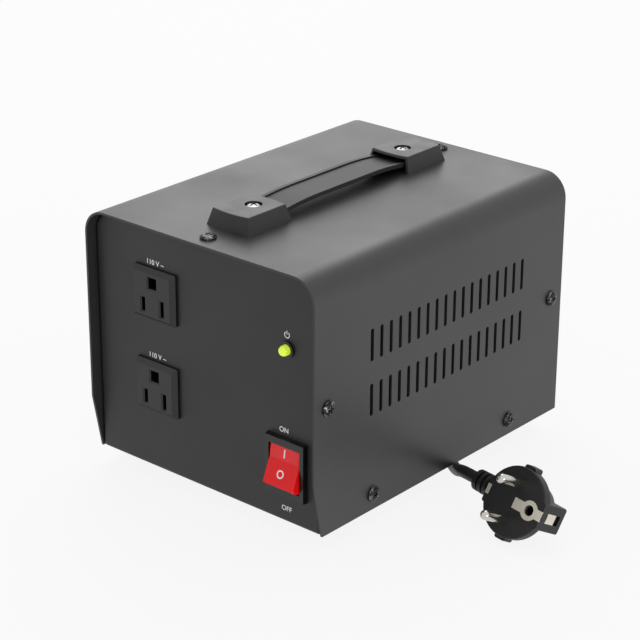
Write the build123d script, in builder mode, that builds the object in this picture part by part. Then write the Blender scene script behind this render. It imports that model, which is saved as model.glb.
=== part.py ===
from build123d import *
import math
import os

os.makedirs("parts", exist_ok=True)

# A step-down voltage converter in a folded steel box, in millimetres.
# X runs to the right seen from the front, Y to the back and Z up. The origin is
# on the surface that the rubber feet stand on, under the middle of the box.

# The cover: one sheet folded into a top and two sides
cover_w = 150.0
cover_l = 196.0
cover_h = 131.5
sheet_t = 1.2
cover_bend_r = 12.8
hood = 5.6
nose_h = 29.6
foot_h = 9.0

# Clearances and the overrun that every cut shares
gap = 0.3
slip = 0.1
over = 1.0

# Levels and planes that many pieces share
z_base = foot_h
z_top = z_base + cover_h
z_inside = z_base + sheet_t
y_panel = cover_l / 2 - hood
side_x = cover_w / 2
front = Plane(origin=(0, -y_panel, 0), x_dir=(1, 0, 0), z_dir=(0, -1, 0))
rear = Plane(origin=(0, y_panel, 0), x_dir=(-1, 0, 0), z_dir=(0, 1, 0))
lid = Plane.XY.offset(z_top)
LOW = (Align.CENTER, Align.MIN)

# Ventilation slots, two rows in each side wall
vent_count = 18
vent_pitch = 7.0
vent_len = 16.8
vent_w = 2.3
vent_high_down = 43.7
vent_rows_apart = 28.4
vent_high_z = cover_h - vent_high_down
vent_low_z = vent_high_z - vent_rows_apart
vent_mid_y = 2.5

# Black screws that hold the cover to the chassis
case_shank_r = 1.7
case_hole_r = case_shank_r + slip
case_head_r = 4.1
case_head_h = 2.4
case_screw_l = 8.0
end_screw_in = 9.3
end_screw_down = 65.2
end_screw_z = cover_h - end_screw_down
low_screw_y = 55.0
low_screw_z = 8.7
cross_w = 1.0
cross_l = 4.6
cross_d = 1.2
pan_edge_share = 0.4

# The chassis: end panels, base and their folded flanges
chassis_w = cover_w - 2 * (sheet_t + gap)
chassis_h = cover_h - sheet_t - gap
chassis_corner_r = cover_bend_r - sheet_t - gap
fold_r = 1.8
end_flange = 14.0
base_flange = 18.0

# Rubber feet and their screws
foot_r = 10.0
foot_low_r = 9.2
foot_side = 27.0
foot_x = side_x - foot_side
foot_y = 64.4
foot_bore_r = 4.6
foot_bore_d = 4.5
m4_r = 2.0
m4_hole_r = m4_r + slip
m4_head_r = 3.7
m4_head_h = 2.1
m4_nut_r = 4.0
m4_nut_h = 3.0
foot_screw_l = 12.0

# The strap handle: two end caps and a flexible strap between them
cap_w = 27.5
cap_l = 33.2
cap_to_screw = 8.0
cap_out_y = cover_l / 2 - end_screw_in - case_head_r - cap_to_screw
cap_in_y = cap_out_y - cap_l
cap_h = 8.4
cap_draft = 2.2
cap_wall = 1.3
cap_bulge = 1.3
cap_edge_r = 0.7
handle_screw_in = 13.6
handle_screw_y = cap_in_y + handle_screw_in
boss_r = 3.7
seat_r = 4.4
seat_d = 1.9
seat_floor_t = 0.8
handle_screw_l = 13.0
strap_w = 20.4
strap_t = 2.2
strap_bead_w = 2.0
strap_bead_h = 0.7
strap_rise = 4.7
strap_bend_out = 23.4
strap_flat_y = cap_in_y - strap_bend_out
strap_bend_r = 190.0
strap_bend_deg = 6.0
strap_tip_in = 24.6
strap_tip_y = cap_in_y + strap_tip_in
strap_slot_l = 17.0

# Outlets: two three-pin sockets for flat blades, earth hole on top
outlet_side = 43.2
outlet_x = outlet_side - side_x
outlet_low_z = 40.1
outlet_high_down = 42.0
outlet_high_z = cover_h - outlet_high_down
outlet_w = 28.5
outlet_h = 27.0
outlet_up = 5.8
outlet_rim = 1.4
outlet_bevel = 2.2
outlet_corner_r = 1.2
outlet_body_w = 25.0
outlet_body_h = 24.0
outlet_body_d = 22.0
outlet_catch_w = 12.0
outlet_catch = 1.3
outlet_catch_d = 5.0
blade_dx = 6.35
blade_slot_w = 2.2
live_slot_h = 7.0
neutral_slot_h = 8.0
slot_lead_in = 0.75
slot_d = 7.0
earth_dz = 11.9
earth_hole_w = 5.4
earth_hole_h = 5.6
blade_clip_gap = 1.8
blade_clip_h = 8.4
earth_clip_gap = 5.0
earth_clip_h = 6.0
clip_t = 0.6
clip_l = 12.0
tab_w = 4.8
tab_l = 7.0

# Rocker switch
switch_side = 21.6
switch_x = side_x - switch_side
switch_z = 30.2
bezel_w = 24.9
bezel_h = 30.6
bezel_t = 3.0
bezel_draft_deg = 6.0
switch_body_w = 21.9
switch_body_h = 27.4
switch_body_d = 25.0
switch_well_d = 14.0
switch_catch_w = 8.0
rocker_w = 18.9
rocker_r = 11.1
rocker_back = 6.0
rocker_pin_r = 1.6
rocker_pin_l = 0.9
rocker_fold_out = 2.9
rocker_fold_up = 4.0
rocker_top_deg = 8.0
rocker_low_deg = 23.0
rocker_edge_r = 0.5
spade_w = 6.3
spade_t = 0.8
spade_l = 8.0
spade_root = 8.0
spade_dx = 5.2
spade_dz = 7.0

# Pilot lamp in a plastic ring
lamp_down = 40.4
lamp_z = cover_h - lamp_down
lamp_r = 2.65
lamp_proud = 2.6
lamp_rim_r = 3.2
lamp_rim_t = 1.0
lamp_back = 5.0
ring_r = 4.3
ring_t = 1.2
ring_barrel_r = 3.6
lead_w = 0.5
lead_l = 16.0
lead_dx = 1.27
resistor_r = 1.2
resistor_l = 6.5

# Transformer: a stack of E and I laminations on one bobbin
lam_unit = 18.0
stack_t = 55.0
core_y = 8.0
core_bolt_r = 2.0
core_bolt_head_r = 3.8
core_bolt_head_h = 2.6
bobbin_wall = 1.5
bobbin_flange_t = 1.8
bobbin_lip_y = 16.0
winding_side = 14.0
winding_corner_r = 7.0
wrap_t = 0.5
bracket_t = 1.6
bracket_leg = 15.0
bracket_foot = 16.0
bracket_l = 104.0
bracket_screw_x = 20.0
bracket_screw_l = 9.0
cutout_w = 16.0
cutout_h = 9.0
cutout_t = 4.5
cutout_edge_r = 1.0

# Fuse holder on the rear panel
fuse_side = 30.0
fuse_x = side_x - fuse_side
fuse_z = 30.0
holder_rim_r = 9.0
holder_rim_t = 2.0
holder_r = 6.3
holder_bore_r = 5.0
holder_d = 34.0
holder_floor = 1.6
holder_nut_r = 9.8
holder_nut_t = 3.0
cap_head_r = 7.0
cap_head_l = 7.4
cap_shaft_r = holder_bore_r - slip
cap_shaft_l = 10.0
cap_cup_r = 3.3
cap_rib_count = 16
cap_rib_r = 0.5
cap_slot_w = 1.4
cap_slot_d = 1.2
cap_slot_l = 9.0
fuse_r = 3.1
fuse_l = 30.0

# Cord gland on the rear panel, and the cord
gland_side = 45.0
gland_x = gland_side - side_x
gland_z = 28.0
gland_rim_r = 9.5
gland_rim_t = 2.5
gland_neck_r = 6.0
gland_snout_r = 7.2
gland_snout_end_r = 4.9
gland_snout_l = 18.0
gland_lock_r = 7.6
gland_lock_l = 5.0
gland_edge_r = 0.8
cord_d = 6.2

# Earth stud on the base
stud_side = 17.0
stud_x = stud_side - side_x
stud_back = 20.4
stud_y = y_panel - stud_back
stud_l = 12.0
lug_t = 0.8
lug_r = 4.2
lug_reach = 12.0
lug_crimp_l = 6.0
lug_crimp_w = 5.0
lug_crimp_h = 2.6

# Insulated wires inside, and where they run
wire_r = 1.1
wire_bend_r = 4.5
wire_step = 2.5
wire_end_l = 8.0
wire_fan = 2.6
lamp_wire_r = 0.8
lane_share = 0.5
wire_turn_in = 21.4
wire_rise_share = 0.448
lead_out_share = 0.31
bend_run_share = 0.45
end_run_share = 0.9
neutral_back = 18.4
live_loop_up = 21.0
live_back = 26.4
tap_in_share = 0.65
tap_out_share = 0.9
tap_level_share = 0.3

# Put-away coil behind the box
coil_x = -71.5
coil_y = 190.0
coil_r = 41.5
coil_gap = 0.8
spiral_quarters = 6.5
coil_run_in = 15.4
coil_run_out = 28.0

# Plug: two round pins, side earth clips and an earth hole, cord out of one side
plug_x = 134.45
plug_y = -21.6
plug_along_pins = (0.1145, 0.4802, 0.8696)
plug_pins_way = (-0.0714, -0.8692, 0.4893)
pin_dx = 9.5
pin_r = 2.4
pin_l = 19.0
pin_root = 6.0
pin_root_r = 2.0
pin_tip_r = 1.6
plug_face_r = 17.8
plug_face_t = 5.5
plug_face_edge = 0.8
plug_back_r = 15.5
plug_back_t = 13.0
plug_back_low_r = 11.5
plug_block_w = 13.5
plug_block_y = 17.6
plug_block_edge = 1.2
plug_lug_x = 19.2
plug_lug_w = 6.6
plug_lug_t = 6.0
plug_lug_down = 1.5
strip_w = 5.0
strip_t = 0.8
strip_down = 12.0
strip_recess = 15.5
strip_face_l = 2.2
plate_wide_r = 4.9
plate_narrow = 5.4
earth_in = 10.0
earth_bore_r = 2.6
earth_sleeve_t = 0.6
earth_bore_d = 15.0
relief_depth = 10.0
relief_r = 6.0
relief_end_r = 5.4
relief_l = 16.8
relief_start = 14.0
relief_first = 6.4
relief_groove_w = 1.2
relief_groove_d = 1.5
relief_pitch = 3.4
relief_grooves = 3


def both_ways(value):
    """The value with a minus sign and with a plus sign."""
    return (-value, value)


def pan_screw(head_r, head_h, shank_r, shank_l):
    """A screw with its head standing on the plane Z = 0 and its shank below it."""
    edge_h = head_h * pan_edge_share
    dome = head_h - edge_h
    ball_r = (head_r**2 + dome**2) / (2 * dome)
    half_turn = math.asin(head_r / ball_r) / 2
    crown = (ball_r * math.sin(half_turn), head_h - ball_r * (1 - math.cos(half_turn)))
    with BuildPart() as screw:
        with BuildSketch(Plane.XZ):
            with BuildLine():
                Polyline(
                    (0, head_h),
                    (0, -shank_l),
                    (shank_r, -shank_l),
                    (shank_r, 0),
                    (head_r, 0),
                    (head_r, edge_h),
                )
                ThreePointArc((head_r, edge_h), crown, (0, head_h))
            make_face()
        revolve(axis=Axis.Z)
        with BuildSketch(Plane.XY.offset(head_h - cross_d)):
            Rectangle(cross_l, cross_w)
            Rectangle(cross_w, cross_l)
        extrude(amount=cross_d + over, mode=Mode.SUBTRACT)
    return screw.part


def hex_nut(corner_r, height, hole_r):
    """A nut standing on the plane Z = 0."""
    with BuildPart() as nut:
        with BuildSketch():
            RegularPolygon(corner_r, 6)
            Circle(hole_r, mode=Mode.SUBTRACT)
        extrude(amount=height)
    return nut.part


def copies(piece, places):
    """Separate copies of one piece, one at each place."""
    with BuildPart() as group:
        with Locations(*places):
            add(piece)
    return group.part


def keep(piece, name):
    """Label a finished piece and write its file."""
    piece.label = name
    export_step(piece, f"parts/{name}.step")
    return piece


# Cover
with BuildPart() as cover:
    with BuildSketch(Plane.XZ):
        with Locations((0, z_base)):
            Rectangle(cover_w, cover_h, align=LOW)
        fillet(vertices().group_by(Axis.Y)[-1], cover_bend_r)
    extrude(amount=cover_l / 2, both=True)
    with BuildSketch(Plane.XZ):
        with Locations((0, z_base - over)):
            Rectangle(cover_w - 2 * sheet_t, cover_h - sheet_t + over, align=LOW)
        fillet(vertices().group_by(Axis.Y)[-1], cover_bend_r - sheet_t)
    extrude(amount=cover_l / 2 + over, both=True, mode=Mode.SUBTRACT)
    with BuildSketch(Plane.YZ):
        with BuildLine():
            Polyline(
                (-cover_l / 2 - over, z_base - over),
                (-y_panel, z_base - over),
                (-y_panel, z_base),
                (-cover_l / 2, z_base + nose_h),
                (-cover_l / 2 - over, z_base + nose_h),
                close=True,
            )
        make_face()
    extrude(amount=side_x + over, both=True, mode=Mode.SUBTRACT)
    with BuildSketch(Plane.YZ):
        with Locations((vent_mid_y, z_base + vent_low_z), (vent_mid_y, z_base + vent_high_z)):
            with GridLocations(vent_pitch, vent_pitch, vent_count, 1):
                SlotOverall(vent_len, vent_w, rotation=90)
        for y in both_ways(cover_l / 2 - end_screw_in):
            with Locations((y, z_base + end_screw_z)):
                Circle(case_hole_r)
        for y in both_ways(low_screw_y):
            with Locations((y, z_base + low_screw_z)):
                Circle(case_hole_r)
    extrude(amount=side_x + over, both=True, mode=Mode.SUBTRACT)
    with BuildSketch(lid.offset(over)):
        with Locations(*[(0, y) for y in both_ways(cover_l / 2 - end_screw_in)]):
            Circle(case_hole_r)
        with Locations(*[(0, y) for y in both_ways(handle_screw_y)]):
            Circle(m4_hole_r)
    extrude(amount=-(sheet_t + 2 * over), mode=Mode.SUBTRACT)
keep(cover.part, "cover")


# Chassis
def chassis_block(inset):
    """The chassis as a solid block, drawn in on every side by the inset."""
    with BuildPart() as block:
        with BuildSketch(Plane.XZ):
            with Locations((0, z_base + inset)):
                Rectangle(chassis_w - 2 * inset, chassis_h - 2 * inset, align=LOW)
            fillet(vertices().group_by(Axis.Y)[-1], chassis_corner_r - inset)
            fillet(vertices().group_by(Axis.Y)[0], fold_r - inset)
        extrude(amount=y_panel - inset, both=True)
        fillet(faces().filter_by(Axis.Y).edges(), fold_r - inset)
    return block.part


outlet_levels = (z_base + outlet_low_z, z_base + outlet_high_z)
chassis_top = z_base + chassis_h
with BuildPart() as chassis:
    add(chassis_block(0))
    add(chassis_block(sheet_t), mode=Mode.SUBTRACT)
    with Locations((0, 0, z_base + base_flange)):
        Box(
            cover_w,
            2 * (y_panel - end_flange),
            cover_h,
            align=(Align.CENTER, Align.CENTER, Align.MIN),
            mode=Mode.SUBTRACT,
        )
    for x in both_ways(chassis_w / 2):
        with Locations((x, 0, chassis_top)):
            Box(2 * chassis_corner_r, 2 * (y_panel - fold_r), 2 * chassis_corner_r, mode=Mode.SUBTRACT)
    with BuildSketch(front):
        for z in outlet_levels:
            with Locations((outlet_x, z + outlet_up)):
                Rectangle(outlet_body_w + 2 * slip, outlet_body_h + 2 * slip)
        with Locations((switch_x, z_base + switch_z)):
            Rectangle(switch_body_w + 2 * slip, switch_body_h + 2 * slip)
        with Locations((switch_x, z_base + lamp_z)):
            Circle(ring_barrel_r + slip)
    extrude(amount=-(sheet_t + over), mode=Mode.SUBTRACT)
    with BuildSketch(rear):
        with Locations((-gland_x, z_base + gland_z)):
            Circle(gland_neck_r + slip)
        with Locations((-fuse_x, z_base + fuse_z)):
            Circle(holder_r + slip)
    extrude(amount=-(sheet_t + over), mode=Mode.SUBTRACT)
    with BuildSketch(Plane.XY.offset(z_base)):
        with GridLocations(2 * foot_x, 2 * foot_y, 2, 2):
            Circle(m4_hole_r)
        with Locations((0, core_y)):
            with GridLocations(2 * bracket_screw_x, stack_t + bracket_foot, 2, 2):
                Circle(m4_hole_r)
    extrude(amount=sheet_t + over, mode=Mode.SUBTRACT)
    with BuildSketch(Plane.YZ):
        with Locations(*[(y, z_base + end_screw_z) for y in both_ways(cover_l / 2 - end_screw_in)]):
            Circle(case_hole_r)
        with Locations(*[(y, z_base + low_screw_z) for y in both_ways(low_screw_y)]):
            Circle(case_hole_r)
    extrude(amount=side_x, both=True, mode=Mode.SUBTRACT)
    with BuildSketch(lid):
        with Locations(*[(0, y) for y in both_ways(cover_l / 2 - end_screw_in)]):
            Circle(case_hole_r)
    extrude(amount=-(sheet_t + fold_r + over), mode=Mode.SUBTRACT)
keep(chassis.part, "chassis")

# Screws that hold the cover
case_screw = pan_screw(case_head_r, case_head_h, case_shank_r, case_screw_l)
side_places = []
for x in both_ways(side_x):
    for y in both_ways(cover_l / 2 - end_screw_in):
        side_places.append(Plane(origin=(x, y, z_base + end_screw_z), z_dir=(x, 0, 0)))
    for y in both_ways(low_screw_y):
        side_places.append(Plane(origin=(x, y, z_base + low_screw_z), z_dir=(x, 0, 0)))
keep(copies(case_screw, side_places), "cover_side_screws")
top_places = [Plane(origin=(0, y, z_top)) for y in both_ways(cover_l / 2 - end_screw_in)]
keep(copies(case_screw, top_places), "cover_top_screws")

# Rubber feet, their screws and nuts
with BuildPart() as foot:
    with BuildSketch():
        Circle(foot_low_r)
    with BuildSketch(Plane.XY.offset(foot_h)):
        Circle(foot_r)
    loft(ruled=True)
    with BuildSketch():
        Circle(foot_bore_r)
    extrude(amount=foot_bore_d, mode=Mode.SUBTRACT)
    with BuildSketch():
        Circle(m4_hole_r)
    extrude(amount=foot_h, mode=Mode.SUBTRACT)
foot_spots = [(x, y) for x in both_ways(foot_x) for y in both_ways(foot_y)]
keep(copies(foot.part, [Plane.XY.move(Location((x, y, 0))) for x, y in foot_spots]), "rubber_feet")
foot_screw = pan_screw(m4_head_r, m4_head_h, m4_r, foot_screw_l)
foot_screw_places = [Plane(origin=(x, y, foot_bore_d), z_dir=(0, 0, -1)) for x, y in foot_spots]
keep(copies(foot_screw, foot_screw_places), "foot_screws")
m4_nut = hex_nut(m4_nut_r, m4_nut_h, m4_hole_r)
keep(copies(m4_nut, [Plane(origin=(x, y, z_inside)) for x, y in foot_spots]), "foot_nuts")


# Handle caps
def cap_section(level, inset, mouth):
    """The outline of the rear cap at a height over the lid, drawn in by the inset."""
    half_w = cap_w / 2 - inset
    out_y = cap_out_y - inset
    mid_y = (mouth + out_y) / 2
    with BuildSketch(lid.offset(level)) as section:
        with BuildLine():
            ThreePointArc((-half_w, mouth), (0, mouth - cap_bulge), (half_w, mouth))
            Line((half_w, mouth), (half_w, out_y - cap_bulge))
            ThreePointArc((half_w, out_y - cap_bulge), (0, out_y), (-half_w, out_y - cap_bulge))
            Line((-half_w, out_y - cap_bulge), (-half_w, mouth))
        make_face()
    return section.sketch


roof = cap_h - cap_wall
seat_floor = cap_h - seat_d
with BuildPart() as cap_rear:
    loft(
        [
            cap_section(0, 0, cap_in_y + cap_bulge),
            cap_section(cap_h, cap_draft, cap_in_y + cap_draft + cap_bulge),
        ]
    )
    fillet(faces().sort_by(Axis.Z)[-1].edges(), cap_edge_r)
    loft(
        [
            cap_section(0, cap_wall, cap_in_y - 2 * over),
            cap_section(roof, cap_wall + cap_draft * roof / cap_h, cap_in_y - 2 * over),
        ],
        mode=Mode.SUBTRACT,
    )
    with BuildSketch(lid):
        with Locations((0, handle_screw_y)):
            Circle(boss_r)
    extrude(amount=roof)
    with BuildSketch(lid.offset(seat_floor - seat_floor_t)):
        with Locations((0, handle_screw_y)):
            Circle(seat_r + seat_floor_t)
    extrude(amount=seat_floor_t + seat_d - cap_wall)
    with BuildSketch(lid.offset(cap_h)):
        with Locations((0, handle_screw_y)):
            Circle(seat_r)
    extrude(amount=-seat_d, mode=Mode.SUBTRACT)
    with BuildSketch(lid):
        with Locations((0, handle_screw_y)):
            Circle(m4_hole_r)
    extrude(amount=cap_h, mode=Mode.SUBTRACT)
keep(cap_rear.part, "handle_cap_rear")
with BuildPart() as cap_front:
    add(cap_rear.part.mirror(Plane.XZ))
keep(cap_front.part, "handle_cap_front")
handle_screw = pan_screw(m4_head_r, m4_head_h, m4_r, handle_screw_l)
handle_spots = [(0, y) for y in both_ways(handle_screw_y)]
handle_places = [Plane(origin=(x, y, z_top + seat_floor)) for x, y in handle_spots]
keep(copies(handle_screw, handle_places), "handle_screws")
nut_places = [Plane(origin=(x, y, z_top - sheet_t), z_dir=(0, 0, -1)) for x, y in handle_spots]
keep(copies(m4_nut, nut_places), "handle_nuts")

# Strap: flat in the middle, bent down a little before each cap, straight inside it
bend = math.radians(strap_bend_deg)
bend_end_y = strap_flat_y + strap_bend_r * math.sin(bend)
bend_end_z = strap_rise - strap_bend_r * (1 - math.cos(bend))
tip_z = bend_end_z - (strap_tip_y - bend_end_y) * math.tan(bend)
with BuildPart() as strap:
    with BuildLine(Plane.YZ) as strap_line:
        Polyline((-strap_tip_y, z_top + tip_z), (-bend_end_y, z_top + bend_end_z))
        RadiusArc((-bend_end_y, z_top + bend_end_z), (-strap_flat_y, z_top + strap_rise), strap_bend_r)
        Line((-strap_flat_y, z_top + strap_rise), (strap_flat_y, z_top + strap_rise))
        RadiusArc((strap_flat_y, z_top + strap_rise), (bend_end_y, z_top + bend_end_z), strap_bend_r)
        Polyline((bend_end_y, z_top + bend_end_z), (strap_tip_y, z_top + tip_z))
    start_plane = Plane(origin=strap_line.line @ 0, x_dir=(1, 0, 0), z_dir=strap_line.line % 0)
    with BuildSketch(start_plane):
        with Locations((0, -strap_t)):
            Rectangle(strap_w, strap_t, align=LOW)
        with Locations((0, -strap_t)):
            Rectangle(
                strap_w - 2 * strap_bead_w, strap_bead_h, align=(Align.CENTER, Align.MIN), mode=Mode.SUBTRACT
            )
    sweep()
    with BuildSketch(lid):
        with Locations(*[(0, y) for y in both_ways(handle_screw_y)]):
            SlotOverall(strap_slot_l, 2 * (boss_r + gap), rotation=90)
    extrude(amount=cap_h, mode=Mode.SUBTRACT)
keep(strap.part, "handle_strap")


# Outlets
def spring_clip(x, z, wide, high, depth):
    """A folded contact open to the front: two leaves, a web and a tab out of the back."""
    web_y = -y_panel + depth + clip_l
    half = wide / 2
    with BuildPart() as clip:
        with BuildSketch(Plane.XY.offset(z - high / 2)):
            with Locations((x, web_y - clip_l / 2)):
                Rectangle(wide + 2 * clip_t, clip_l)
            with Locations((x, web_y - clip_t - clip_l / 2)):
                Rectangle(2 * half, clip_l, mode=Mode.SUBTRACT)
        extrude(amount=high)
        with BuildSketch(Plane.XY.offset(z - tab_w / 2)):
            with Locations((x, web_y)):
                Rectangle(clip_t, outlet_body_d + tab_l - depth - clip_l, align=LOW)
        extrude(amount=tab_w)
    return clip.part


def outlet_places(level):
    """Where the three contacts of an outlet lie: x, z, gap, height, slot width, slot height."""
    return (
        (outlet_x - blade_dx, level, blade_clip_gap, blade_clip_h, blade_slot_w, live_slot_h),
        (outlet_x + blade_dx, level, blade_clip_gap, blade_clip_h, blade_slot_w, neutral_slot_h),
        (outlet_x, level + earth_dz, earth_clip_gap, earth_clip_h, earth_hole_w, earth_hole_h),
    )


clip_start = slot_d + slip


def outlet_housing(level):
    """A snap-in outlet housing whose blade slots lie at this level."""
    proud = outlet_rim + outlet_bevel
    with BuildPart() as housing:
        with BuildSketch(front):
            with Locations((outlet_x, level + outlet_up)):
                RectangleRounded(outlet_w, outlet_h, outlet_corner_r)
        extrude(amount=outlet_rim)
        with BuildSketch(front.offset(outlet_rim)):
            with Locations((outlet_x, level + outlet_up)):
                Rectangle(outlet_w - 2 * slip, outlet_h - 2 * slip)
        extrude(amount=outlet_bevel, taper=45)
        with BuildSketch(front):
            with Locations((outlet_x, level + outlet_up)):
                Rectangle(outlet_body_w, outlet_body_h)
        extrude(amount=-outlet_body_d)
        for side in (-1, 1):
            root = outlet_x + side * outlet_body_w / 2
            catch_y = -y_panel + sheet_t + slip
            with BuildSketch(Plane.XY.offset(level + outlet_up - outlet_catch_w / 2)):
                with BuildLine():
                    Polyline(
                        (root, catch_y),
                        (root + side * outlet_catch, catch_y),
                        (root, catch_y + outlet_catch_d),
                        close=True,
                    )
                make_face()
            extrude(amount=outlet_catch_w)
        for x, z, wide, high, slot_w, slot_h in outlet_places(level):
            with BuildSketch(front.offset(proud)):
                with Locations((x, z)):
                    Rectangle(slot_w, slot_h)
            extrude(amount=-(proud + slot_d), mode=Mode.SUBTRACT)
            with BuildSketch(front.offset(proud)):
                with Locations((x, z)):
                    Rectangle(slot_w + 2 * slot_lead_in, slot_h + 2 * slot_lead_in)
            extrude(amount=-slot_lead_in, taper=45, mode=Mode.SUBTRACT)
            with BuildSketch(front.offset(-slot_d)):
                with Locations((x, z)):
                    Rectangle(wide + 2 * (clip_t + slip), high + 2 * slip)
            extrude(amount=-(outlet_body_d - slot_d + over), mode=Mode.SUBTRACT)
    return housing.part


def outlet_contacts(level):
    """The live, neutral and earth contacts of an outlet."""
    with BuildPart() as contacts:
        for x, z, wide, high, slot_w, slot_h in outlet_places(level):
            add(spring_clip(x, z, wide, high, clip_start))
    return contacts.part


for level, name in zip(outlet_levels, ("lower", "upper")):
    keep(outlet_housing(level), f"outlet_housing_{name}")
    keep(outlet_contacts(level), f"outlet_contacts_{name}")

# Rocker switch: the body with its bezel and well
pivot_z = z_base + switch_z
well_w = rocker_w + 2 * gap
well_h = 2 * (rocker_r + gap)
with BuildPart() as switch_body:
    with BuildSketch(front):
        with Locations((switch_x, pivot_z)):
            Rectangle(bezel_w, bezel_h)
    extrude(amount=bezel_t, taper=bezel_draft_deg)
    with BuildSketch(front):
        with Locations((switch_x, pivot_z)):
            Rectangle(switch_body_w, switch_body_h)
    extrude(amount=-switch_body_d)
    for side in (-1, 1):
        root = pivot_z + side * switch_body_h / 2
        catch_y = -y_panel + sheet_t + slip
        with BuildSketch(Plane.YZ.offset(switch_x - switch_catch_w / 2)):
            with BuildLine():
                Polyline(
                    (catch_y, root),
                    (catch_y, root + side * outlet_catch),
                    (catch_y + outlet_catch_d, root),
                    close=True,
                )
            make_face()
        extrude(amount=switch_catch_w)
    with BuildSketch(front.offset(bezel_t + over)):
        with Locations((switch_x, pivot_z)):
            Rectangle(well_w, well_h)
    extrude(amount=-(bezel_t + over + switch_well_d), mode=Mode.SUBTRACT)
    with BuildSketch(Plane.YZ.offset(switch_x)):
        with Locations((-y_panel, pivot_z)):
            Circle(rocker_pin_r + slip / 2)
    extrude(amount=rocker_w / 2 + rocker_pin_l + slip, both=True, mode=Mode.SUBTRACT)
    with BuildSketch(front.offset(-switch_body_d - over)):
        with Locations((switch_x, pivot_z)):
            with GridLocations(2 * spade_dx, 2 * spade_dz, 2, 2):
                Rectangle(spade_t + slip, spade_w + slip)
    extrude(amount=switch_body_d + over - switch_well_d - over, mode=Mode.SUBTRACT)
keep(switch_body.part, "switch_body")

# Its rocker, pressed in at the top: the switch is on
top_lean = math.radians(rocker_top_deg)
low_lean = math.radians(rocker_low_deg)
reach = 2 * rocker_r
with BuildPart() as rocker:
    with BuildSketch(Plane.YZ.offset(switch_x - rocker_w / 2)):
        with Locations((-y_panel, pivot_z)):
            Circle(rocker_r)
        fold = (-y_panel - rocker_fold_out, pivot_z + rocker_fold_up)
        with BuildLine():
            Polyline(
                fold,
                (fold[0] + reach * math.sin(top_lean), fold[1] + reach * math.cos(top_lean)),
                (-y_panel + rocker_back, pivot_z + reach),
                (-y_panel + rocker_back, pivot_z - reach),
                (fold[0] - reach * math.sin(low_lean), fold[1] - reach * math.cos(low_lean)),
                close=True,
            )
        make_face(mode=Mode.INTERSECT)
    extrude(amount=rocker_w)
    chamfer(faces().filter_by(Axis.X).edges(), rocker_edge_r)
    with BuildSketch(Plane.YZ.offset(switch_x)):
        with Locations((-y_panel, pivot_z)):
            Circle(rocker_pin_r)
    extrude(amount=rocker_w / 2 + rocker_pin_l, both=True)
keep(rocker.part, "switch_rocker")

with BuildPart() as spades:
    with BuildSketch(front.offset(-switch_body_d + spade_root)):
        with Locations((switch_x, pivot_z)):
            with GridLocations(2 * spade_dx, 2 * spade_dz, 2, 2):
                Rectangle(spade_t, spade_w)
    extrude(amount=-(spade_root + spade_l))
keep(spades.part, "switch_terminals")

# Pilot lamp: plastic ring, clear body with a domed front, leads and a resistor
lamp_spot = (switch_x, z_base + lamp_z)
with BuildPart() as lamp_ring:
    with BuildSketch(front):
        with Locations(lamp_spot):
            Circle(ring_r)
    extrude(amount=ring_t, taper=bezel_draft_deg)
    with BuildSketch(front):
        with Locations(lamp_spot):
            Circle(ring_barrel_r)
    extrude(amount=-lamp_back)
    with BuildSketch(front.offset(ring_t + over)):
        with Locations(lamp_spot):
            Circle(lamp_r + slip)
    extrude(amount=-(ring_t + over + lamp_back + over), mode=Mode.SUBTRACT)
keep(lamp_ring.part, "lamp_ring")
with BuildPart() as lamp:
    with BuildSketch(front.offset(-lamp_back)):
        with Locations(lamp_spot):
            Circle(lamp_rim_r)
    extrude(amount=-lamp_rim_t)
    with BuildSketch(front.offset(-lamp_back)):
        with Locations(lamp_spot):
            Circle(lamp_r)
    extrude(amount=lamp_back + lamp_proud)
    with Locations((lamp_spot[0], -y_panel - lamp_proud, lamp_spot[1])):
        Sphere(lamp_r)
keep(lamp.part, "lamp_lens")
lead_start = lamp_back + lamp_rim_t
with BuildPart() as lamp_leads:
    with BuildSketch(front.offset(-lead_start)):
        with Locations(lamp_spot):
            with GridLocations(2 * lead_dx, 2 * lead_dx, 2, 1):
                Rectangle(lead_w, lead_w)
    extrude(amount=-lead_l)
keep(lamp_leads.part, "lamp_leads")
with BuildPart() as resistor:
    with BuildSketch(front.offset(-(lead_start + (lead_l - resistor_l) / 2))):
        with Locations((lamp_spot[0] - lead_dx, lamp_spot[1])):
            Circle(resistor_r)
            Circle(lead_w, mode=Mode.SUBTRACT)
    extrude(amount=-resistor_l)
keep(resistor.part, "lamp_resistor")

# Transformer: the laminated core stands on the base with its windows open to front and back
core_w = 6 * lam_unit
core_h = 5 * lam_unit
core_mid_z = z_inside + core_h / 2
leg_w = 2 * lam_unit
window_h = 3 * lam_unit
bolt_dx = (core_w - lam_unit) / 2
bolt_dz = (core_h - lam_unit) / 2
core_plane = Plane(origin=(0, core_y, core_mid_z), x_dir=(1, 0, 0), z_dir=(0, -1, 0))
with BuildPart() as core:
    with BuildSketch(core_plane):
        Rectangle(core_w, core_h)
        with GridLocations(leg_w + lam_unit, window_h, 2, 1):
            Rectangle(lam_unit, window_h, mode=Mode.SUBTRACT)
        with GridLocations(2 * bolt_dx, 2 * bolt_dz, 2, 2):
            Circle(core_bolt_r + slip, mode=Mode.SUBTRACT)
    extrude(amount=stack_t / 2, both=True)
keep(core.part, "transformer_core")

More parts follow.
